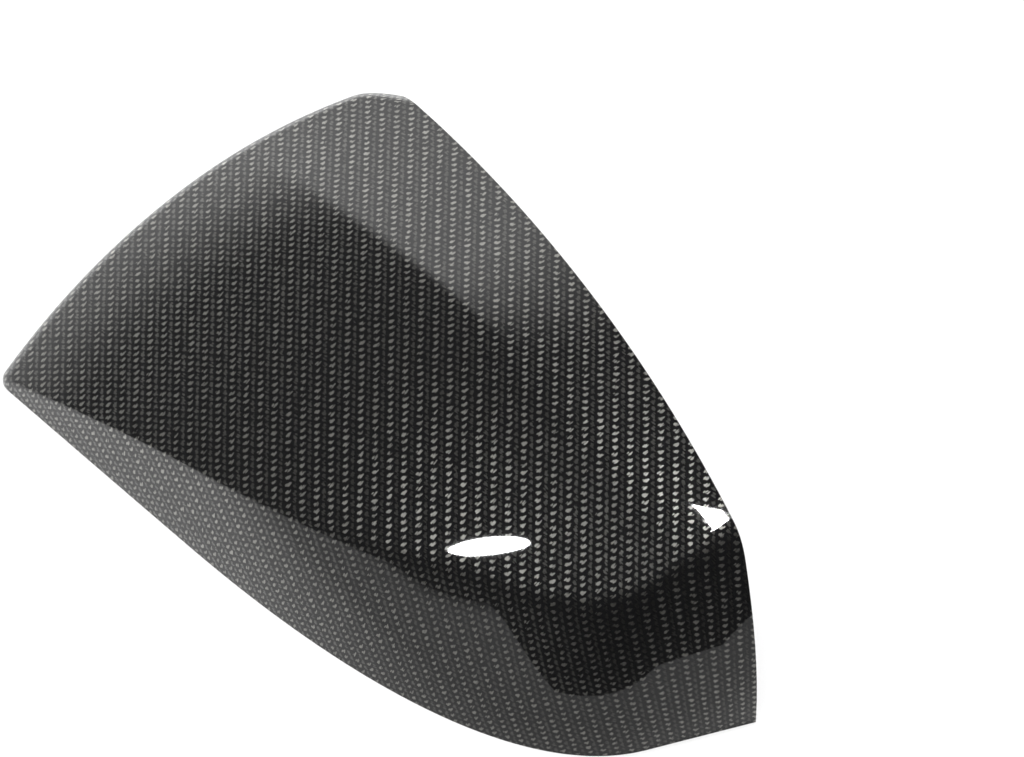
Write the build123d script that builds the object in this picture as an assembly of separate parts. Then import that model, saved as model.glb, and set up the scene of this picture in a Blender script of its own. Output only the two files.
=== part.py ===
from build123d import *
import math
import os

# One moulded shell in millimetres, lying on its rim, +Z up
# X runs from the outer tip to the root end, Y from the long skirt to the open edge

wall = 1.8

# Rim in plan: the long skirt, the root end, and the sweep that joins them
skirt_y = -60.6
skirt_turn = 3.0
root_x = 122.4
root_turn = 64.8
sweep_on_skirt = 125.7
sweep_on_root = 51.0
sweep_from_skirt = 60.0
sweep_to_root = 41.5

# Walls lean inward from the rim and bow outward
skirt_draft = 8.5
skirt_bow = 95.0
root_draft = 2.0
root_bow = 130.0
root_share = 0.45

# Round between the walls and the top, crisp at the tip and broad at the root
shoulder_tip = 4.0
shoulder_root = 20.0
shoulder_start = -115.0
shoulder_run = 185.0

# Ridge line between the sloping main face and the band
ridge_height = 75.4
ridge_apex = 18.0
ridge_crown = 460.0
ridge_y = 20.3
ridge_skew = 0.08
ridge_soft = 1.2
ridge_fade = 0.006

# Main face falls from the ridge to the skirt, steeper toward the root
main_fall = 0.451
main_twist = 1250.0
main_bow = 526.3

# Band rises from the ridge to the open edge
band_rise = 0.107
band_apex = 20.0
band_spread = 290.0

# Tip end wall: an arc in plan, leaning, with a rounded lip and a rounded corner at the skirt
tip_end = -123.7
tip_y = -56.5
tip_radius = 226.2
tip_draft = 8.0
tip_round = 5.5
corner_round = 8.0
corner_lead = 1.3

# The tip wall turns round to meet the open edge
wrap_y = 59.5
wrap_bend = 10.0
wrap_run = 9.0

# Open edge, one long arc in plan
edge_x = -157.4
edge_y = -801.0
edge_radius = 872.0

# Working reach of the skin beyond the trimmed shell, and how finely it is laid out
spill = 4.0
reach = 140.0
aim_x = 20.0
aim_y = 155.0
headroom = 100.0
wall_steps = 8
lip_steps = 8
skirt_steps = 18
sweep_steps = 20
root_steps = 6
root_pitch = 7.0
main_steps = 14
band_steps = 10
ridge_clear = 22.0

# Directions of the skirt run and the root run, and the sharp corner where they would meet
skirt_way = Vector(1, 0).rotate(Axis.Z, skirt_turn)
root_way = Vector(1, 0).rotate(Axis.Z, root_turn)
skirt_rise = math.tan(math.radians(skirt_turn))
root_rise = math.tan(math.radians(root_turn))
corner_x = (root_rise * root_x + skirt_y) / (root_rise - skirt_rise)
corner = Vector(corner_x, skirt_y + skirt_rise * corner_x)
sweep_start = corner - skirt_way * sweep_on_skirt
sweep_end = corner + root_way * sweep_on_root
sweep_pull = sweep_start + skirt_way * sweep_from_skirt
root_pull = sweep_end - root_way * sweep_to_root
pivot = Vector(aim_x, aim_y)
aim = (pivot - sweep_start).length
row_way = (pivot - sweep_start).normalized()
steep = math.radians(90 - tip_draft)


# A point on the smooth curve that leaves one end toward a pull point and enters the other from one
def arc(start, lift, land, end, t):
    u = 1 - t
    return start * u ** 3 + lift * (3 * t * u * u) + land * (3 * t * t * u) + end * t ** 3


# How far a place in plan lies on the main face's side of the ridge
def below_ridge(x, y):
    return ridge_y - ridge_skew * x - y


# Height of the untrimmed top at a place in plan
def top(x, y):
    crest = ridge_height - (x - ridge_apex) ** 2 / (2 * ridge_crown)
    below = below_ridge(x, y)
    main = crest - (main_fall + x / main_twist) * below - below * abs(below) / main_bow
    band = crest - (band_rise + ((x - band_apex) / band_spread) ** 2) * below
    soft = ridge_soft + ridge_fade * x
    return (main + band - math.hypot(main - band, 2 * soft)) / 2


def tip_line(y):
    over = max(y - wrap_y, 0.0)
    turning = min(over, wrap_run)
    wrap = turning * (2 * over - turning) / wrap_bend
    return tip_end + tip_radius - math.sqrt(tip_radius ** 2 - (y - tip_y) ** 2) + wrap


# A station on the skirt: its place inside the tip line, the drop of the lip, and the share of the tip wall
def skirt_station(inside, drop, fall):
    def depth(y):
        return fall * (top(tip_line(y), y) + spill)

    start = inside - depth(tip_y) / math.tan(steep)
    x = tip_line(skirt_y) + inside
    turned = math.asin(min(max(1 - (start + corner_lead) / corner_round, 0.0), math.sin(steep)))
    rim = Vector(x, skirt_y + skirt_rise * x + corner_round * (1 - math.cos(turned)))
    share = max(inside - tip_round, 0.0) / (sweep_start.X - tip_line(skirt_y) - tip_round)
    straight = share * (1 + share - share * share)

    def place(s):
        y = rim.Y + s
        square = Vector(1, tip_line(y - 0.5) - tip_line(y + 0.5)).normalized()
        off = inside - depth(y) / math.tan(steep)
        near = Vector(tip_line(y) + max(off - tip_round, 0.0), y) + square * min(off, tip_round)
        return near + (rim + row_way * s - near) * straight

    return place, lambda s: drop + depth(rim.Y + s), 0.0, reach


# A station on the sweep or the root end, facing the aim point outside the open edge
def end_station(rim, share):
    inward = (pivot - rim).normalized()
    return lambda s: rim + inward * s, lambda s: 0.0, share, (pivot - rim).length * reach / aim


# Stations down the tip wall and round its lip, then along the skirt, then round to the root
def stations():
    lip_in = tip_round * (1 - math.sin(steep))
    lip_drop = tip_round * (1 - math.cos(steep))
    tip, skirt, root = [], [], []
    for step in range(wall_steps, 0, -1):
        tip.append(skirt_station(lip_in, lip_drop, step / wall_steps))
    for step in range(lip_steps, 0, -1):
        turn = steep * step / lip_steps
        tip.append(skirt_station(tip_round * (1 - math.sin(turn)), tip_round * (1 - math.cos(turn)), 0.0))
    length = sweep_start.X - tip_line(skirt_y) - tip_round
    for step in range(skirt_steps):
        skirt.append(skirt_station(tip_round + length * (step / skirt_steps) ** 1.6, 0.0, 0.0))
    for step in range(sweep_steps + 1):
        t = step / sweep_steps
        late = max(t - root_share, 0.0) / (1 - root_share)
        rim = arc(sweep_start, sweep_pull, root_pull, sweep_end, t)
        root.append(end_station(rim, late * late * (3 - 2 * late)))
    for step in range(root_steps):
        root.append(end_station(sweep_end + root_way * (root_pitch * (step + 1)), 1.0))
    return tip + skirt[:1], skirt + root[:1], root


# The place along a line where a falling measure passes zero
def crossing(measure, low, high):
    for _ in range(40):
        mid = (low + high) / 2
        if measure(mid) > 0:
            low = mid
        else:
            high = mid
    return low


# One cross section of the skin: up the wall, round the shoulder, up to the ridge, over the band
def section(place, drop, share, last):
    slope = math.tan(math.radians(skirt_draft + (root_draft - skirt_draft) * share))
    bow = skirt_bow + (root_bow - skirt_bow) * share
    grown = min(max((place(0).X - shoulder_start) / shoulder_run, 0.0), 1.0)
    radius = shoulder_tip + (shoulder_root - shoulder_tip) * grown ** 3
    base = -spill - drop(0)

    def lean(z):
        return z * slope + max(z, 0.0) ** 2 / (2 * bow)

    def wall_angle(z):
        return math.atan2(1, slope + max(z, 0.0) / bow)

    def height(s):
        return top(place(s).X, place(s).Y) - drop(s)

    def top_angle(s):
        return math.atan(height(s + 0.5) - height(s - 0.5))

    meet = crossing(lambda z: height(lean(z)) - z, base, headroom)
    back = radius * math.tan((wall_angle(meet) - top_angle(lean(meet))) / 2)
    wall_end = meet - back * math.sin(wall_angle(meet))
    top_start = lean(meet) + back * math.cos(top_angle(lean(meet)))
    a, b = wall_angle(wall_end), top_angle(top_start)
    handle = radius * 4 / 3 * math.tan((a - b) / 4)
    start = Vector(lean(wall_end), wall_end)
    end = Vector(top_start, height(top_start))
    lift = start + Vector(math.cos(a), math.sin(a)) * handle
    land = end - Vector(math.cos(b), math.sin(b)) * handle
    ridge = crossing(lambda s: below_ridge(place(s).X, place(s).Y), 0.0, last)
    ahead = ridge - top_start
    ridge = top_start + (ahead + ridge_clear + math.hypot(ahead - ridge_clear, ridge_clear)) / 2
    line = []
    for step in range(5):
        z = base + (wall_end - base) * step / 5
        line.append((lean(z), z))
    for step in range(8):
        bend = arc(start, lift, land, end, step / 8)
        line.append((bend.X, bend.Y))
    for step in range(main_steps):
        s = ridge - (ridge - top_start) * (1 - step / main_steps) ** 1.3
        line.append((s, height(s)))
    for step in range(band_steps + 1):
        s = ridge + (last - ridge) * (step / band_steps) ** 1.3
        line.append((s, height(s)))
    return [place(s) + Vector(0, 0, z) for s, z in line]


# The grid moved inward along its own normals
def inset(grid, depth):
    moved = []
    for i, row in enumerate(grid):
        before, after = grid[max(i - 1, 0)], grid[min(i + 1, len(grid) - 1)]
        line = []
        for j, point in enumerate(row):
            across = row[min(j + 1, len(row) - 1)] - row[max(j - 1, 0)]
            line.append(point - (after[j] - before[j]).cross(across).normalized() * depth)
        moved.append(line)
    return moved


# What lies under each patch of a skin, cut by the rim plane and the long arc of the open edge
def under(patches, over):
    every = [row for rows in patches for row in rows]
    shares = [0.0] * len(every[0])
    for row in every:
        steps = [(b - a).length for a, b in zip(row, row[1:])]
        for j in range(len(steps)):
            shares[j + 1] += sum(steps[:j + 1]) / sum(steps) / len(every)
    within = Pos(edge_x, edge_y, headroom / 2 - over) * Cylinder(edge_radius + over, headroom)
    bodies = []
    for rows in patches:
        wires = [Wire([Edge.make_spline(row, parameters=shares)]) for row in rows]
        bodies.append(extrude(Shell.make_loft(wires).face(), headroom, dir=(0, 0, -1)) & within)
    return bodies


tip, skirt, root = [[section(*station) for station in run] for run in stations()]
deep = inset(tip + skirt[1:] + root[1:], wall)
last_tip, last_skirt = len(tip), len(tip) + len(skirt) - 1
cover = Part() + under([tip, skirt, root], 0.0)
for hollow in under([deep[:last_tip], deep[last_tip - 1:last_skirt], deep[last_skirt - 1:]], 1.0):
    cover -= hollow

# Origin under the middle of the shell, on the rim plane
points = [edge.position_at(step / 200) for edge in cover.edges() for step in range(201)]
middle_x = (min(p.X for p in points) + max(p.X for p in points)) / 2
middle_y = (min(p.Y for p in points) + max(p.Y for p in points)) / 2
cover = Pos(-middle_x, -middle_y, 0) * cover
cover.label = "mirror_cover"

os.makedirs("parts", exist_ok=True)
export_step(cover, "parts/mirror_cover.step")
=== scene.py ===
import math

import bpy
from mathutils import Matrix, Vector


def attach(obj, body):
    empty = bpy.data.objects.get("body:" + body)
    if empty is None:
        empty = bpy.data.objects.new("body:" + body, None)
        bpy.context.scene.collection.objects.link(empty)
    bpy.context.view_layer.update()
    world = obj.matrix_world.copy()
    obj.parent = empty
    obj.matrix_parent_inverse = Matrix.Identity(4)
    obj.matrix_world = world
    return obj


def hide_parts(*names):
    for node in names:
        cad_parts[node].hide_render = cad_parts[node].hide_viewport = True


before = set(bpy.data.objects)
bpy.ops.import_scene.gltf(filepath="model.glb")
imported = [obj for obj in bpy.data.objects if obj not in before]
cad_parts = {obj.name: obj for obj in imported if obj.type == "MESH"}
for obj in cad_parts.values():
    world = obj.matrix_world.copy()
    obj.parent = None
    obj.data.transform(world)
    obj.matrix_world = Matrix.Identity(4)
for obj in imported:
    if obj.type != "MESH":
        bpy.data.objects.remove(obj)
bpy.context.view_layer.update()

bl_info = {
    "name": "Mirror cover",
    "version": (1, 0, 0),
    "blender": (4, 5, 0),
    "location": "View3D > Sidebar > Mirror cover",
    "description": "Dresses the moulded mirror cover in lacquered carbon twill and sets up its studio",
    "category": "Object",
}

# Camera axes: to the right, away over the floor, and the eye's place in metres
RIGHT = Vector((0.66913, 0.74314, 0.0))
AWAY = Vector((-0.74314, 0.66913, 0.0))
EYE = Vector((0.47213, -0.38518, 0.78430))

# How far the eye looks down in degrees, and its lens and sensor in millimetres
TILT, LENS, SENSOR = 50.0, 112.5, 36.0

# The shell's sizes are in millimetres, and the scene is in metres
PER_METRE = 1000


def linear(code):
    """A colour written as an sRGB hex value, turned to linear light"""
    parts = [int(code[i:i + 2], 16) / 255 for i in (0, 2, 4)]
    return tuple(c / 12.92 if c <= 0.04045 else ((c + 0.055) / 1.055) ** 2.4 for c in parts)


def opaque(colour):
    """The same colour with full alpha"""
    return (*colour, 1.0)


def add(tree, kind, *feeds, **settings):
    """Adds a node with its settings, and feeds its inputs in order or, from a dictionary, by name"""
    made = tree.nodes.new(kind)
    for key, value in settings.items():
        setattr(made, key, value)
    named = feeds[0] if feeds and isinstance(feeds[0], dict) else dict(enumerate(feeds))
    for key, value in named.items():
        if isinstance(value, bpy.types.Node):
            value = value.outputs[0]
        if isinstance(value, bpy.types.NodeSocket):
            tree.links.new(value, made.inputs[key])
        else:
            made.inputs[key].default_value = value
    return made


def fresh(store, name):
    """A new material or world, and its emptied node tree"""
    made = store.new(name)
    made.use_nodes = True
    made.node_tree.nodes.clear()
    return made, made.node_tree


class CoverFinish(bpy.types.PropertyGroup):
    """Sizes and colours of the cover's cloth and lacquer"""

    tow_width: bpy.props.FloatProperty(
        name="Tow width", description="Width of one flat bundle of fibres in the twill",
        default=0.00156, min=0.0005, unit="LENGTH")
    tow_crown: bpy.props.FloatProperty(
        name="Tow crown", description="How far a bundle bulges where it passes over the others",
        default=0.00016, min=0.0, unit="LENGTH")
    # Painted highlight: the grey put into the glints on the lit bundles, which are also made metallic so
    # their brightness follows the lamps
    painted_glint_grey: bpy.props.FloatVectorProperty(
        name="Lit tow", description="Grey of the bundles that face the eye",
        subtype="COLOR", size=3, min=0, max=1, default=linear("898883"))
    dark_tow: bpy.props.FloatVectorProperty(
        name="Dark tow", description="Near black of the bundles that cross them",
        subtype="COLOR", size=3, min=0, max=1, default=linear("0e0e0f"))
    # Partly the inside's own grey, partly painted sheen, as only one kind of bundle gets it in full
    bare_tow_and_painted_sheen: bpy.props.FloatVectorProperty(
        name="Bare tow", description="Grey of the bundles on the unlacquered inside",
        subtype="COLOR", size=3, min=0, max=1, default=linear("4a4a4b"))
    cut_edge: bpy.props.FloatVectorProperty(
        name="Cut edge", description="Charcoal of the trimmed edge",
        subtype="COLOR", size=3, min=0, max=1, default=linear("1b1b1c"))


# The painted highlight on a bundle, in tow widths: its half width, its half height and the sag of its middle
GLINT_WIDE, GLINT_TALL, GLINT_SAG = 0.82, 0.52, 0.35

# How strongly the strands fray the patch, and where it starts to fade and is gone
FRAY, GLINT_FULL, GLINT_GONE = 6.0, 3.45, 4.15

# How quickly the strands change across a bundle and along it, for each tow width
STRANDS_ACROSS, STRANDS_ALONG = 3.6, 0.6

# Painted shine of the crossing bundles beside the lit ones, and the normals that the two kinds have on the
# cloth
CROSSING_PAINTED_SHINE = 0.28
LIT_FACING, CROSSING_FACING = (0.5, 0.5, 1.0, 1.0), (0.42, 0.5, 0.99, 1.0)

# Uneven strength of the painted highlight over a few bundles: its scale for each tow width, and its least
# and most
PATCHY_SCALE, PATCHY_LEAST, PATCHY_MOST = 0.35, 0.65, 1.25

# Painted sheen of the crossing bundles on the inside, and the grain of the sanded edge in metres
BARE_CROSSING_PAINTED_SHEEN = 0.4
EDGE_GRAIN = 0.0008


def twill(tree, width):
    """Two over, two under: where a point lies along and across the top bundle, and if that is a lit one"""
    place = add(tree, "ShaderNodeUVMap", uv_map="cloth")
    turned = add(tree, "ShaderNodeMapping", {
        "Vector": place, "Rotation": (0, 0, math.radians(45)), "Scale": (1 / width, 1 / width, 1)})
    split = add(tree, "ShaderNodeSeparateXYZ", turned)
    a, b = split.outputs[0], split.outputs[1]
    column = add(tree, "ShaderNodeMath", a, operation="FLOOR")
    row = add(tree, "ShaderNodeMath", b, operation="FLOOR")
    a_in = add(tree, "ShaderNodeMath", a, operation="FRACT")
    b_in = add(tree, "ShaderNodeMath", b, operation="FRACT")
    step = add(tree, "ShaderNodeMath", column, row, operation="ADD")
    phase = add(tree, "ShaderNodeMath", step, 4.0, operation="FLOORED_MODULO")
    lit = add(tree, "ShaderNodeMath", phase, 1.5, operation="LESS_THAN")
    along_lit = add(tree, "ShaderNodeMath", b_in, phase, operation="ADD")
    along_lit = add(tree, "ShaderNodeMath", along_lit, 1.0, operation="SUBTRACT")
    along_dark = add(tree, "ShaderNodeMath", a_in, phase, operation="ADD")
    along_dark = add(tree, "ShaderNodeMath", along_dark, 3.0, operation="SUBTRACT")
    along = add(tree, "ShaderNodeMix", {0: lit, 2: along_dark, 3: along_lit}, data_type="FLOAT")
    across = add(tree, "ShaderNodeMix", {0: lit, 2: b_in, 3: a_in}, data_type="FLOAT")
    across = add(tree, "ShaderNodeMath", across, 0.5, operation="SUBTRACT")
    return turned, lit, along, across


def crowned(tree, along, across):
    """Height of a bundle, one at its crown and nothing at its sides and ends"""
    side = add(tree, "ShaderNodeMath", across, across, operation="MULTIPLY")
    side = add(tree, "ShaderNodeMath", side, -4.0, 1.0, operation="MULTIPLY_ADD")
    end = add(tree, "ShaderNodeMath", along, along, operation="MULTIPLY")
    end = add(tree, "ShaderNodeMath", end, -1.0, 1.0, operation="MULTIPLY_ADD")
    return add(tree, "ShaderNodeMath", side, end, operation="MULTIPLY")


def glinting(tree, along, across, lit, uneven):
    """The painted highlight on a bundle's crown: a patch wider than tall, its middle sagging, its outline
    frayed
    """
    flank = add(tree, "ShaderNodeMath", lit, -2.0, 1.0, operation="MULTIPLY_ADD")
    turned = add(tree, "ShaderNodeMath", across, flank, operation="MULTIPLY")
    beside = add(tree, "ShaderNodeMath", along, turned, operation="SUBTRACT")
    beside = add(tree, "ShaderNodeMath", beside, operation="ABSOLUTE")
    over = add(tree, "ShaderNodeMath", along, turned, operation="ADD")
    over = add(tree, "ShaderNodeMath", beside, -GLINT_SAG, over, operation="MULTIPLY_ADD")
    over = add(tree, "ShaderNodeMath", over, GLINT_SAG * GLINT_WIDE / 2, operation="ADD")
    beside = add(tree, "ShaderNodeMath", beside, 1 / GLINT_WIDE, operation="MULTIPLY")
    over = add(tree, "ShaderNodeMath", over, 1 / GLINT_TALL, operation="MULTIPLY")
    beside = add(tree, "ShaderNodeMath", beside, beside, operation="MULTIPLY")
    reach = add(tree, "ShaderNodeMath", over, over, beside, operation="MULTIPLY_ADD")
    reach = add(tree, "ShaderNodeMath", uneven, FRAY, reach, operation="MULTIPLY_ADD")
    return add(tree, "ShaderNodeMapRange", reach, GLINT_FULL, GLINT_GONE, 1.0, 0.0,
               interpolation_type="SMOOTHSTEP")


def lacquered_carbon(finish):
    """Carbon twill under polished clear lacquer: painted grey highlights in columns on near black, made
    metallic so they shine with the lamps, under a deep gloss
    """
    made, tree = fresh(bpy.data.materials, "carbon_twill_clear_lacquer")
    turned, lit, along, across = twill(tree, finish.tow_width)
    strands = add(tree, "ShaderNodeMix", {
        0: lit, 4: (STRANDS_ALONG, STRANDS_ACROSS, 1.0), 5: (STRANDS_ACROSS, STRANDS_ALONG, 1.0)},
        data_type="VECTOR")
    strands = add(tree, "ShaderNodeVectorMath", turned, strands.outputs[1], operation="MULTIPLY")
    uneven = add(tree, "ShaderNodeTexNoise", {
        "Vector": strands, "Scale": 1.0, "Detail": 2.0, "Roughness": 0.6})
    painted_glint_mask = glinting(tree, along, across, lit, uneven)
    # Painted highlight: the glint's patch gets the grey, in full on lit bundles and a little on crossing
    # ones, patchy at random
    painted_shine = add(tree, "ShaderNodeMath", lit, 1 - CROSSING_PAINTED_SHINE, CROSSING_PAINTED_SHINE, operation="MULTIPLY_ADD")
    patchy = add(tree, "ShaderNodeTexNoise", {"Vector": turned, "Scale": PATCHY_SCALE, "Detail": 3.0})
    patchy = add(tree, "ShaderNodeMapRange", patchy, 0.3, 0.7, PATCHY_LEAST, PATCHY_MOST)
    painted_light_tone = add(tree, "ShaderNodeMath", painted_shine, patchy, operation="MULTIPLY")
    painted_light_tone = add(tree, "ShaderNodeMath", painted_light_tone, painted_glint_mask, operation="MULTIPLY")
    # The painted highlight's patch is made metallic, so how bright it shines comes from the lamps and walls
    # it reflects
    painted_glint_metal = add(tree, "ShaderNodeMath", painted_glint_mask, 2.0, operation="MULTIPLY", use_clamp=True)
    colour = add(tree, "ShaderNodeMix", {
        0: painted_light_tone, 6: opaque(finish.dark_tow), 7: opaque(finish.painted_glint_grey)}, data_type="RGBA")
    lean = add(tree, "ShaderNodeMix", {
        0: lit, 6: CROSSING_FACING, 7: LIT_FACING}, data_type="RGBA")
    facing = add(tree, "ShaderNodeNormalMap", {"Color": lean.outputs[2]}, uv_map="cloth")
    shader = add(tree, "ShaderNodeBsdfPrincipled", {
        "Base Color": colour.outputs[2], "Metallic": painted_glint_metal, "Roughness": 0.4, "IOR": 1.5,
        "Specular IOR Level": 0.05, "Normal": facing,
        "Coat Weight": 1.0, "Coat Roughness": 0.02, "Coat IOR": 1.5})
    add(tree, "ShaderNodeOutputMaterial", shader)
    return made


def bare_carbon(finish):
    """The inside as it left the mould: the same twill under thin satin resin, dull, with a painted sheen on
    one kind of bundle and painted shade where bundles dip under the others
    """
    made, tree = fresh(bpy.data.materials, "carbon_twill_satin_resin")
    _, lit, along, across = twill(tree, finish.tow_width)
    crown = crowned(tree, along, across)
    # Painted sheen and shade: one kind of bundle is painted brighter than the other, and each is painted
    # darker toward where it dips under the others
    painted_light_tone = add(tree, "ShaderNodeMath", lit, 1 - BARE_CROSSING_PAINTED_SHEEN, BARE_CROSSING_PAINTED_SHEEN, operation="MULTIPLY_ADD")
    painted_light_tone = add(tree, "ShaderNodeMath", painted_light_tone, crown, operation="MULTIPLY")
    colour = add(tree, "ShaderNodeMix", {
        0: painted_light_tone, 6: opaque(finish.dark_tow), 7: opaque(finish.bare_tow_and_painted_sheen)}, data_type="RGBA")
    bump = add(tree, "ShaderNodeBump", {"Strength": 1.0, "Distance": finish.tow_crown, "Height": crown})
    shader = add(tree, "ShaderNodeBsdfPrincipled", {
        "Base Color": colour.outputs[2], "Roughness": 0.5, "IOR": 1.5, "Normal": bump})
    add(tree, "ShaderNodeOutputMaterial", shader)
    return made


def trimmed_edge(finish):
    """The sawn and sanded edge: charcoal, matt, with a fine grain"""
    made, tree = fresh(bpy.data.materials, "carbon_sanded_edge")
    place = add(tree, "ShaderNodeTexCoord").outputs["Object"]
    grain = add(tree, "ShaderNodeTexNoise", {"Vector": place, "Scale": 1 / EDGE_GRAIN, "Detail": 2.0})
    colour = add(tree, "ShaderNodeMix", {
        0: grain, 6: opaque(finish.dark_tow), 7: opaque(finish.cut_edge)}, data_type="RGBA")
    shader = add(tree, "ShaderNodeBsdfPrincipled", {"Base Color": colour.outputs[2], "Roughness": 0.6})
    add(tree, "ShaderNodeOutputMaterial", shader)
    return made


# Sizes of the shell in millimetres and degrees: rim, walls, shoulder, ridge, faces, tip and open edge
WALL = 1.8
SKIRT_Y, SKIRT_TURN, ROOT_X, ROOT_TURN = -60.6, 3.0, 122.4, 64.8
SWEEP_ON_SKIRT, SWEEP_ON_ROOT, SWEEP_FROM_SKIRT, SWEEP_TO_ROOT = 125.7, 51.0, 60.0, 41.5
SKIRT_DRAFT, SKIRT_BOW, ROOT_DRAFT, ROOT_BOW, ROOT_SHARE = 8.5, 95.0, 2.0, 130.0, 0.45
SHOULDER_TIP, SHOULDER_ROOT, SHOULDER_START, SHOULDER_RUN = 4.0, 20.0, -115.0, 185.0
RIDGE_HEIGHT, RIDGE_APEX, RIDGE_CROWN, RIDGE_Y, RIDGE_SKEW = 75.4, 18.0, 460.0, 20.3, 0.08
RIDGE_SOFT, RIDGE_FADE = 1.2, 0.006
MAIN_FALL, MAIN_TWIST, MAIN_BOW = 0.451, 1250.0, 526.3
BAND_RISE, BAND_APEX, BAND_SPREAD = 0.107, 20.0, 290.0
TIP_END, TIP_Y, TIP_RADIUS, TIP_DRAFT, TIP_ROUND = -123.7, -56.5, 226.2, 8.0, 5.5
CORNER_ROUND, CORNER_LEAD = 8.0, 1.3
WRAP_Y, WRAP_BEND, WRAP_RUN = 59.5, 10.0, 9.0
EDGE_CENTRE, EDGE_RADIUS = Vector((-157.4, -801.0)), 872.0
SPILL, REACH, PIVOT, HEADROOM = 4.0, 140.0, Vector((20.0, 155.0)), 100.0

SKIRT_WAY = Vector((math.cos(math.radians(SKIRT_TURN)), math.sin(math.radians(SKIRT_TURN))))
ROOT_WAY = Vector((math.cos(math.radians(ROOT_TURN)), math.sin(math.radians(ROOT_TURN))))
SKIRT_RISE, ROOT_RISE = math.tan(math.radians(SKIRT_TURN)), math.tan(math.radians(ROOT_TURN))
CORNER_X = (ROOT_RISE * ROOT_X + SKIRT_Y) / (ROOT_RISE - SKIRT_RISE)
CORNER = Vector((CORNER_X, SKIRT_Y + SKIRT_RISE * CORNER_X))
SWEEP_START, SWEEP_END = CORNER - SKIRT_WAY * SWEEP_ON_SKIRT, CORNER + ROOT_WAY * SWEEP_ON_ROOT
SWEEP_PULL, ROOT_PULL = SWEEP_START + SKIRT_WAY * SWEEP_FROM_SKIRT, SWEEP_END - ROOT_WAY * SWEEP_TO_ROOT
ROW_WAY = (PIVOT - SWEEP_START).normalized()
STEEP = math.radians(90 - TIP_DRAFT)

# How finely the skin is laid out along and across the shell
WALL_ROWS, LIP_ROWS, SKIRT_ROWS, SWEEP_ROWS, ROOT_ROWS, ROOT_PITCH = 10, 10, 46, 64, 20, 2.1
WALL_STEPS, SHOULDER_STEPS, MAIN_STEPS, BAND_STEPS = 9, 14, 44, 24

# How much the points crowd together toward the tip and the ridge, on the main face and on the band
CROWD, BAND_CROWD = 1.3, 1.2

# Least room from the shoulder to the ridge, least width of the band, and spare skin beyond the open edge
RIDGE_ROOM, BAND_ROOM, EDGE_SPARE, EDGE_KEEP = 12.0, 6.0, 3.0, 2.0

# How far off the columns of the cloth would meet, and the steps that measure a length along the top
FAN, CLIMB_STEPS = 2400.0, 40

# The saw that cuts the open edge: its sides, and its height and middle in metres
SAW_SIDES, SAW_HEIGHT, SAW_MIDDLE = 720, 0.3, 0.05

# How near a point is to a cut, in millimetres at the open edge and in metres at the rim, to lie on it
EDGE_NEAR, RIM_NEAR = 0.05, 1e-6

# Faces that meet at less than this many degrees are shaded as one
SMOOTH_UNDER = 40.0


def bend(start, lift, land, end, t):
    """A point on the smooth curve that leaves one end toward a pull point and enters the other from one"""
    u = 1 - t
    return start * u ** 3 + lift * (3 * t * u * u) + land * (3 * t * t * u) + end * t ** 3


def crossing(measure, low, high):
    """The place along a line where a falling measure passes zero"""
    for _ in range(40):
        mid = (low + high) / 2
        if measure(mid) > 0:
            low = mid
        else:
            high = mid
    return low


def below_ridge(x, y):
    """How far a place in plan lies on the main face's side of the ridge"""
    return RIDGE_Y - RIDGE_SKEW * x - y


def top(x, y):
    """Height of the main face and the band, joined along the soft ridge"""
    crest = RIDGE_HEIGHT - (x - RIDGE_APEX) ** 2 / (2 * RIDGE_CROWN)
    below = below_ridge(x, y)
    main = crest - (MAIN_FALL + x / MAIN_TWIST) * below - below * abs(below) / MAIN_BOW
    band = crest - (BAND_RISE + ((x - BAND_APEX) / BAND_SPREAD) ** 2) * below
    soft = RIDGE_SOFT + RIDGE_FADE * x
    return (main + band - math.hypot(main - band, 2 * soft)) / 2


def tip_line(y):
    """The tip end in plan: an arc that turns round to meet the open edge"""
    over = max(y - WRAP_Y, 0.0)
    turning = min(over, WRAP_RUN)
    wrap = turning * (2 * over - turning) / WRAP_BEND
    return TIP_END + TIP_RADIUS - math.sqrt(TIP_RADIUS ** 2 - (y - TIP_Y) ** 2) + wrap


def skirt_station(inside, drop, fall):
    """A station on the skirt: its place inside the tip line, the lip's drop, the share of the tip wall"""
    def depth(y):
        return fall * (top(tip_line(y), y) + SPILL)

    start = inside - depth(TIP_Y) / math.tan(STEEP)
    x = tip_line(SKIRT_Y) + inside
    turned = math.asin(min(max(1 - (start + CORNER_LEAD) / CORNER_ROUND, 0.0), math.sin(STEEP)))
    rim = Vector((x, SKIRT_Y + SKIRT_RISE * x + CORNER_ROUND * (1 - math.cos(turned))))
    share = max(inside - TIP_ROUND, 0.0) / (SWEEP_START.x - tip_line(SKIRT_Y) - TIP_ROUND)
    straight = share * (1 + share - share * share)

    def place(s):
        y = rim.y + s
        square = Vector((1.0, tip_line(y - 0.5) - tip_line(y + 0.5))).normalized()
        off = inside - depth(y) / math.tan(STEEP)
        near = Vector((tip_line(y) + max(off - TIP_ROUND, 0.0), y)) + square * min(off, TIP_ROUND)
        return near + (rim + ROW_WAY * s - near) * straight

    return place, lambda s: drop + depth(rim.y + s), 0.0


def end_station(rim, share):
    """A station on the sweep or the root end, facing the point that the rows run to"""
    inward = (PIVOT - rim).normalized()
    return lambda s: rim + inward * s, lambda s: 0.0, share


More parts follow.
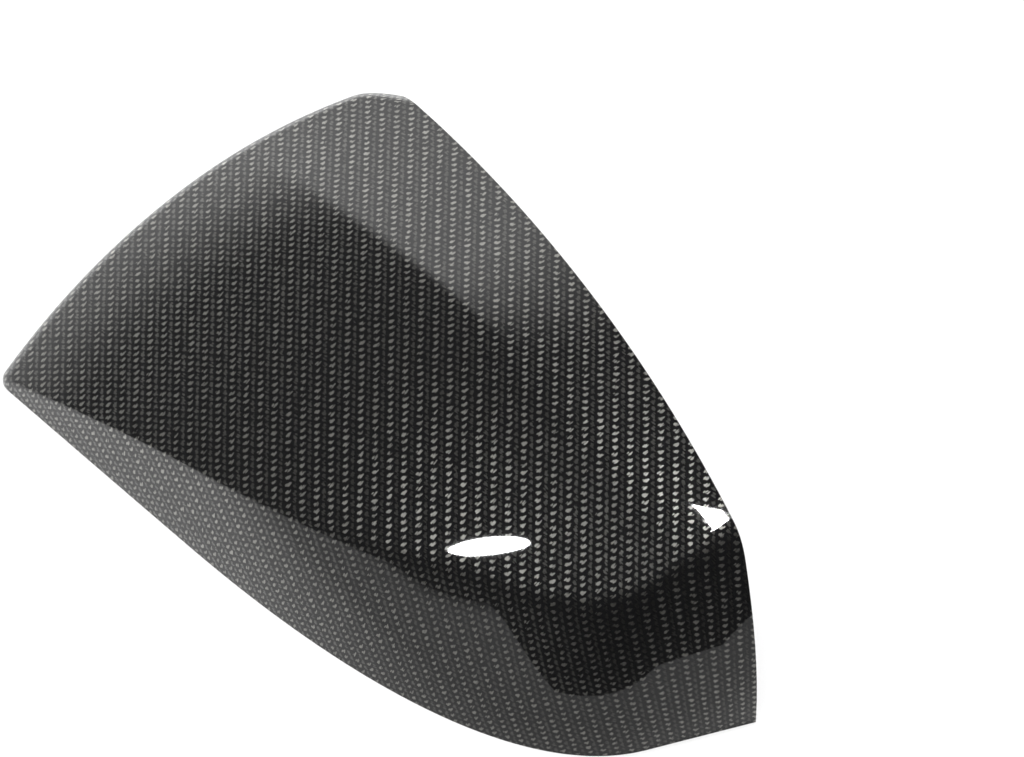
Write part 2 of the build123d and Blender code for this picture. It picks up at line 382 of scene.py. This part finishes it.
def stations():
    """Down the tip wall and round its lip, along the skirt, then round to the root"""
    lip_in, lip_drop = TIP_ROUND * (1 - math.sin(STEEP)), TIP_ROUND * (1 - math.cos(STEEP))
    rows = [skirt_station(lip_in, lip_drop, step / WALL_ROWS) for step in range(WALL_ROWS, 0, -1)]
    for step in range(LIP_ROWS, 0, -1):
        turn = STEEP * step / LIP_ROWS
        rows.append(skirt_station(TIP_ROUND * (1 - math.sin(turn)), TIP_ROUND * (1 - math.cos(turn)), 0.0))
    length = SWEEP_START.x - tip_line(SKIRT_Y) - TIP_ROUND
    for step in range(SKIRT_ROWS):
        rows.append(skirt_station(TIP_ROUND + length * (step / SKIRT_ROWS) ** CROWD, 0.0, 0.0))
    for step in range(SWEEP_ROWS + 1):
        late = max(step / SWEEP_ROWS - ROOT_SHARE, 0.0) / (1 - ROOT_SHARE)
        rim = bend(SWEEP_START, SWEEP_PULL, ROOT_PULL, SWEEP_END, step / SWEEP_ROWS)
        rows.append(end_station(rim, late * late * (3 - 2 * late)))
    for step in range(ROOT_ROWS):
        rows.append(end_station(SWEEP_END + ROOT_WAY * (ROOT_PITCH * (step + 1)), 1.0))
    return rows


def section(place, drop, share):
    """One cross section of the skin: up the wall, round the shoulder, up to the ridge, over the band"""
    slope = math.tan(math.radians(SKIRT_DRAFT + (ROOT_DRAFT - SKIRT_DRAFT) * share))
    bow = SKIRT_BOW + (ROOT_BOW - SKIRT_BOW) * share
    grown = min(max((place(0).x - SHOULDER_START) / SHOULDER_RUN, 0.0), 1.0)
    radius = SHOULDER_TIP + (SHOULDER_ROOT - SHOULDER_TIP) * grown ** 3
    base = -SPILL - drop(0)

    def lean(z):
        return z * slope + max(z, 0.0) ** 2 / (2 * bow)

    def wall_angle(z):
        return math.atan2(1, slope + max(z, 0.0) / bow)

    def height(s):
        return top(place(s).x, place(s).y) - drop(s)

    def top_angle(s):
        return math.atan(height(s + 0.5) - height(s - 0.5))

    meet = crossing(lambda z: height(lean(z)) - z, base, HEADROOM)
    back = radius * math.tan((wall_angle(meet) - top_angle(lean(meet))) / 2)
    wall_end = meet - back * math.sin(wall_angle(meet))
    top_start = lean(meet) + back * math.cos(top_angle(lean(meet)))
    a, b = wall_angle(wall_end), top_angle(top_start)
    handle = radius * 4 / 3 * math.tan((a - b) / 4)
    start, end = Vector((lean(wall_end), wall_end)), Vector((top_start, height(top_start)))
    lift = start + Vector((math.cos(a), math.sin(a))) * handle
    land = end - Vector((math.cos(b), math.sin(b))) * handle
    ridge = max(crossing(lambda s: below_ridge(*place(s)), 0.0, REACH), top_start + RIDGE_ROOM)
    edge = crossing(lambda s: EDGE_RADIUS - (place(s) - EDGE_CENTRE).length, 0.0, REACH)
    last = max(edge + EDGE_SPARE, ridge + BAND_ROOM)
    line = []
    for step in range(WALL_STEPS):
        z = base + (wall_end - base) * step / WALL_STEPS
        line.append((lean(z), z))
    for step in range(SHOULDER_STEPS):
        line.append(tuple(bend(start, lift, land, end, step / SHOULDER_STEPS)))
    for step in range(MAIN_STEPS):
        s = ridge - (ridge - top_start) * (1 - step / MAIN_STEPS) ** CROWD
        line.append((s, height(s)))
    for step in range(BAND_STEPS + 1):
        s = ridge + (last - ridge) * (step / BAND_STEPS) ** BAND_CROWD
        line.append((s, height(s)))
    return [Vector((*place(s), z)) for s, z in line]


def climb(x, y):
    """Length along the top, the way the eye looks, from the middle of the cover out to a place in plan"""
    way = AWAY.xy
    ahead = Vector((x, y)).dot(way)
    foot = Vector((x, y)) - way * ahead
    heights = [top(*(foot + way * (ahead * step / CLIMB_STEPS))) for step in range(CLIMB_STEPS + 1)]
    length = sum(math.hypot(b - a, ahead / CLIMB_STEPS) for a, b in zip(heights, heights[1:]))
    return math.copysign(length, ahead)


def on_cloth(point):
    """The place on the flat cloth of a point on the top"""
    ahead = point.xy.dot(AWAY.xy)
    return Vector((point.xy.dot(RIGHT.xy) * (1 - ahead / FAN), climb(point.x, point.y)))


def lay_cloth(grid):
    """Places on the cloth: its columns run straight ahead over the top, and unroll over shoulder and lip"""
    first, lead = WALL_ROWS + LIP_ROWS, WALL_STEPS + SHOULDER_STEPS
    cloth = [[on_cloth(point) for point in row] for row in grid]
    for row, laid in zip(grid[first:], cloth[first:]):
        way = (laid[lead] - laid[lead + 3]).normalized()
        for j in range(lead - 1, -1, -1):
            laid[j] = laid[j + 1] + way * (row[j] - row[j + 1]).length
    # Past the start of the wrap, the cloth on the tip wall goes straight on instead of fanning out
    lip, straight = grid[first], list(cloth[first])
    for j in range(len(lip)):
        if lip[j].y < WRAP_Y:
            way = (cloth[first][j] - cloth[first + 2][j]).normalized()
        else:
            aside = Vector((-way.y, way.x))
            length = (lip[j] - lip[j - 1]).length
            straight[j] = straight[j - 1] + aside * math.copysign(
                length, aside.dot(straight[j - 1] - straight[j - 2]))
        down = 0.0
        for i in range(first - 1, -1, -1):
            down += (grid[i][j] - grid[i + 1][j]).length
            share = min((first - i) / LIP_ROWS, 1.0)
            cloth[i][j] = cloth[first][j] + (straight[j] - cloth[first][j]) * share + way * down
    return cloth


class COVER_OT_shell(bpy.types.Operator):
    """Lays out the moulded skin and its cloth, gives it its wall, and trims the rim and the open edge"""

    bl_idname = "cover.shell"
    bl_label = "Cover shell"

    def execute(self, context):
        finish = context.scene.cover_finish
        bpy.ops.object.select_all(action="DESELECT")
        grid = [section(*station) for station in stations()]
        cloth = [place for row in lay_cloth(grid) for place in row]
        wide = len(grid[0])
        # The skin is made point by point, because no primitive gives this form with an even cloth on it
        points = [point / PER_METRE for row in grid for point in row]
        spare = [p.z < -SPILL / PER_METRE - RIM_NEAR
                 or (p.xy * PER_METRE - EDGE_CENTRE).length > EDGE_RADIUS + EDGE_KEEP for p in points]
        faces = []
        for i in range(len(grid) - 1):
            for j in range(wide - 1):
                k = i * wide + j
                face = (k, k + wide, k + wide + 1, k + 1)
                if not all(spare[corner] for corner in face):
                    faces.append(face)
        used = sorted({corner for face in faces for corner in face})
        order = {corner: index for index, corner in enumerate(used)}
        mesh = bpy.data.meshes.new("cover_shell")
        corners = [[order[corner] for corner in face] for face in faces]
        mesh.from_pydata([points[corner] for corner in used], [], corners)
        laid = mesh.uv_layers.new(name="cloth")
        for loop in mesh.loops:
            laid.data[loop.index].uv = cloth[used[loop.vertex_index]] / PER_METRE
        shell = bpy.data.objects.new("cover_shell", mesh)
        context.scene.collection.objects.link(shell)
        context.view_layer.objects.active = shell
        shell.select_set(True)
        for make in (lacquered_carbon, bare_carbon, trimmed_edge):
            mesh.materials.append(make(finish))
        wall = shell.modifiers.new("wall", "SOLIDIFY")
        wall.thickness = WALL / PER_METRE
        wall.offset = -1.0
        wall.use_even_offset = True
        wall.use_quality_normals = True
        wall.material_offset = 1
        wall.material_offset_rim = 2
        bpy.ops.object.modifier_apply(modifier=wall.name)
        trim(shell)
        finish_faces(shell)
        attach(shell, "root")
        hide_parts("mirror_cover")
        return {"FINISHED"}


def trim(shell):
    """Cuts the shell level at the rim and along the long arc of the open edge"""
    bpy.ops.object.mode_set(mode="EDIT")
    bpy.ops.mesh.select_all(action="SELECT")
    bpy.ops.mesh.bisect(
        plane_co=(0, 0, 0), plane_no=(0, 0, 1), use_fill=True, clear_inner=True, threshold=1e-7)
    bpy.ops.mesh.select_all(action="SELECT")
    bpy.ops.mesh.quads_convert_to_tris(quad_method="BEAUTY", ngon_method="BEAUTY")
    bpy.ops.object.mode_set(mode="OBJECT")
    bpy.ops.mesh.primitive_cylinder_add(
        vertices=SAW_SIDES, radius=EDGE_RADIUS / PER_METRE, depth=SAW_HEIGHT,
        location=(*(EDGE_CENTRE / PER_METRE), SAW_MIDDLE))
    saw = bpy.context.object
    bpy.ops.object.select_all(action="DESELECT")
    bpy.context.view_layer.objects.active = shell
    shell.select_set(True)
    cut = shell.modifiers.new("open_edge", "BOOLEAN")
    cut.operation = "INTERSECT"
    cut.solver = "EXACT"
    cut.object = saw
    bpy.ops.object.modifier_apply(modifier=cut.name)
    bpy.data.objects.remove(saw)
    if not shell.data.polygons:
        raise RuntimeError("nothing is left of the shell after its trim")


def finish_faces(shell):
    """Moves the shell over its origin, smooths its faces and gives the trimmed edges their finish"""
    mesh = shell.data
    xs, ys = [v.co.x for v in mesh.vertices], [v.co.y for v in mesh.vertices]
    middle = Vector(((min(xs) + max(xs)) / 2, (min(ys) + max(ys)) / 2, 0.0))
    reach = [(v.co.xy * PER_METRE - EDGE_CENTRE).length for v in mesh.vertices]
    on_edge = [abs(length - EDGE_RADIUS) < EDGE_NEAR for length in reach]
    on_rim = [v.co.z < RIM_NEAR for v in mesh.vertices]
    for face in mesh.polygons:
        if all(on_edge[v] for v in face.vertices) or all(on_rim[v] for v in face.vertices):
            face.material_index = 2
    mesh.transform(Matrix.Translation(-middle))
    bpy.ops.object.shade_smooth_by_angle(angle=math.radians(SMOOTH_UNDER))


# The floor in plan, to the right and away, in metres: it ends close in front of the cover
FLOOR_PLAN = ((-2.5, -2.08), (0.02, -0.137), (0.13, -0.142), (2.0, -1.98), (2.0, 2.5), (-2.5, 2.5))

# In the lacquer the floor has a painted shade toward its near edge: where that starts and ends, and how far
# it goes
NEAR_FLOOR, FAR_FLOOR, NEAR_SHADE = -0.1, -0.035, 0.45

# Share of plain white in the floor that the eye sees
FLOOR_WHITE = 0.55

# Surroundings, by direction: the low wall ahead, and the high wall that leans to the right
LOW_WALL, LOW_FROM, LOW_TO = AWAY - Vector((0, 0, 1)), -0.12, 0.22
HIGH_WALL, HIGH_FROM, HIGH_TO = AWAY + RIGHT * 0.687 - Vector((0, 0, 0.347)), -0.06, 0.08
HEAD_FROM, HEAD_TO = 0.76, 0.88

# Light of the walls, light of all else, and how the low wall brightens toward its foot
WALL_LIGHT, DIM_LIGHT = 1.75, 0.07
FOOT_FROM, FOOT_TO, FOOT_LIGHT = 0.3, 0.7, 1.8


def studio(ahead, left, up):
    """A direction given by how far it goes away from the eye, to its left, and up"""
    return (AWAY * ahead - RIGHT * left + Vector((0.0, 0.0, up))).normalized()


def lamp(name, target, way, long_way, distance, size, power, shape="RECTANGLE", gloss=True):
    """A softbox that looks at a place from a given way, with its long side along another"""
    bpy.ops.object.light_add(type="AREA", location=Vector(target) + way * distance)
    made = bpy.context.object
    made.name = name
    made.data.shape = shape
    made.data.size, made.data.size_y = size
    made.data.energy = power
    made.visible_glossy = gloss
    side = (long_way - way * long_way.dot(way)).normalized()
    turn = Matrix((side, way.cross(side), way)).transposed()
    made.rotation_euler = turn.to_euler()


def white_paper():
    """Matt white paper that keeps the cover's shadow, with a painted shade near its edge that only the
    lacquer shows
    """
    made, tree = fresh(bpy.data.materials, "white_paper_matt")
    place = add(tree, "ShaderNodeTexCoord").outputs["Object"]
    ahead = add(tree, "ShaderNodeVectorMath", place, AWAY, operation="DOT_PRODUCT").outputs["Value"]
    # Painted shade that only glossy rays see: the floor's colour darkens toward its near edge
    shade = add(tree, "ShaderNodeMapRange", ahead, NEAR_FLOOR, FAR_FLOOR, NEAR_SHADE, 1.0)
    white = add(tree, "ShaderNodeEmission", {"Color": (1, 1, 1, 1), "Strength": 1.0})
    path = add(tree, "ShaderNodeLightPath")
    shade = add(tree, "ShaderNodeMix", {
        0: path.outputs["Is Glossy Ray"], 2: 1.0, 3: shade}, data_type="FLOAT")
    colour = add(tree, "ShaderNodeMix", {
        0: shade, 6: (0, 0, 0, 1), 7: opaque(linear("f4f4f4"))}, data_type="RGBA")
    diffuse = add(tree, "ShaderNodeBsdfDiffuse", {"Color": colour.outputs[2]})
    share = add(tree, "ShaderNodeMath", path.outputs["Is Camera Ray"], FLOOR_WHITE, operation="MULTIPLY")
    mixed = add(tree, "ShaderNodeMixShader", share, diffuse, white)
    add(tree, "ShaderNodeOutputMaterial", mixed)
    return made


def surroundings():
    """A dim room with two soft pale walls, for the lacquer to mirror, and plain white to the eye"""
    made, tree = fresh(bpy.data.worlds, "studio")
    way = add(tree, "ShaderNodeTexCoord").outputs["Generated"]
    rise = add(tree, "ShaderNodeSeparateXYZ", way).outputs["Z"]
    low = add(tree, "ShaderNodeVectorMath", way, LOW_WALL, operation="DOT_PRODUCT").outputs["Value"]
    high = add(tree, "ShaderNodeVectorMath", way, HIGH_WALL, operation="DOT_PRODUCT").outputs["Value"]
    foot = add(tree, "ShaderNodeMapRange", low, FOOT_FROM, FOOT_TO, 1.0, FOOT_LIGHT)
    low = add(tree, "ShaderNodeMapRange", low, LOW_FROM, LOW_TO, interpolation_type="SMOOTHSTEP")
    high = add(tree, "ShaderNodeMapRange", high, HIGH_FROM, HIGH_TO, interpolation_type="SMOOTHSTEP")
    head = add(tree, "ShaderNodeMapRange", rise, HEAD_FROM, HEAD_TO, 1.0, 0.0,
               interpolation_type="SMOOTHSTEP")
    high = add(tree, "ShaderNodeMath", high, head, operation="MINIMUM")
    level = add(tree, "ShaderNodeMath", low, high, operation="MAXIMUM")
    level = add(tree, "ShaderNodeMath", level, WALL_LIGHT, DIM_LIGHT, operation="MULTIPLY_ADD")
    level = add(tree, "ShaderNodeMath", level, foot, operation="MULTIPLY")
    seen = add(tree, "ShaderNodeLightPath").outputs["Is Camera Ray"]
    level = add(tree, "ShaderNodeMix", {0: seen, 2: level, 3: 1.0}, data_type="FLOAT")
    back = add(tree, "ShaderNodeBackground", {"Color": (1, 1, 1, 1), "Strength": level})
    add(tree, "ShaderNodeOutputWorld", back)
    return made


class COVER_OT_stage(bpy.types.Operator):
    """Sets the floor, the lamps, the surroundings and the camera"""

    bl_idname = "cover.stage"
    bl_label = "Stage"

    def execute(self, context):
        scene = context.scene
        bpy.ops.object.select_all(action="DESELECT")
        mesh = bpy.data.meshes.new("floor")
        mesh.from_pydata([RIGHT * x + AWAY * y for x, y in FLOOR_PLAN], [], [range(len(FLOOR_PLAN))])
        mesh.materials.append(white_paper())
        floor = bpy.data.objects.new("floor", mesh)
        scene.collection.objects.link(floor)
        scene.world = surroundings()

        # A soft fill from overhead, and two small softboxes that the shoulder mirrors
        lamp("fill_overhead", (0, 0, 0.05), studio(-0.30, 0.17, 0.94), AWAY,
             distance=1.3, size=(1.0, 1.0), power=16.0, gloss=False)
        lamp("strip_left", (0.057, -0.022, 0.053), studio(-0.135, 0.65, 0.745), studio(-0.015, -0.105, 0.09),
             distance=1.2, size=(0.167, 0.037), power=2.0, shape="ELLIPSE")
        lamp("strip_above", (0.102, 0.026, 0.069), studio(0.1365, 0.0834, 1.188), AWAY,
             distance=1.2, size=(0.105, 0.026), power=3.4)

        bpy.ops.object.camera_add(location=EYE)
        camera = context.object
        camera.name = "camera"
        rise = math.radians(TILT)
        away = AWAY * math.cos(rise) - Vector((0, 0, math.sin(rise)))
        camera.rotation_euler = away.to_track_quat("-Z", "Y").to_euler()
        camera.data.sensor_fit = "HORIZONTAL"
        camera.data.sensor_width = SENSOR
        camera.data.lens = LENS
        scene.camera = camera
        scene.view_settings.view_transform = "Standard"
        return {"FINISHED"}


class COVER_PT_panel(bpy.types.Panel):
    """Sizes, colours and steps of the mirror cover"""

    bl_label = "Mirror cover"
    bl_idname = "COVER_PT_panel"
    bl_space_type = "VIEW_3D"
    bl_region_type = "UI"
    bl_category = "Mirror cover"

    def draw(self, context):
        for name in CoverFinish.__annotations__:
            self.layout.prop(context.scene.cover_finish, name)
        for kind in (COVER_OT_shell, COVER_OT_stage):
            self.layout.operator(kind.bl_idname)


classes = (CoverFinish, COVER_OT_shell, COVER_OT_stage, COVER_PT_panel)


def register():
    for kind in classes:
        bpy.utils.register_class(kind)
    bpy.types.Scene.cover_finish = bpy.props.PointerProperty(type=CoverFinish)


def unregister():
    del bpy.types.Scene.cover_finish
    for kind in reversed(classes):
        bpy.utils.unregister_class(kind)


def main():
    register()
    bpy.ops.cover.shell()
    bpy.ops.cover.stage()
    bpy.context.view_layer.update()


if __name__ == "__main__":
    main()
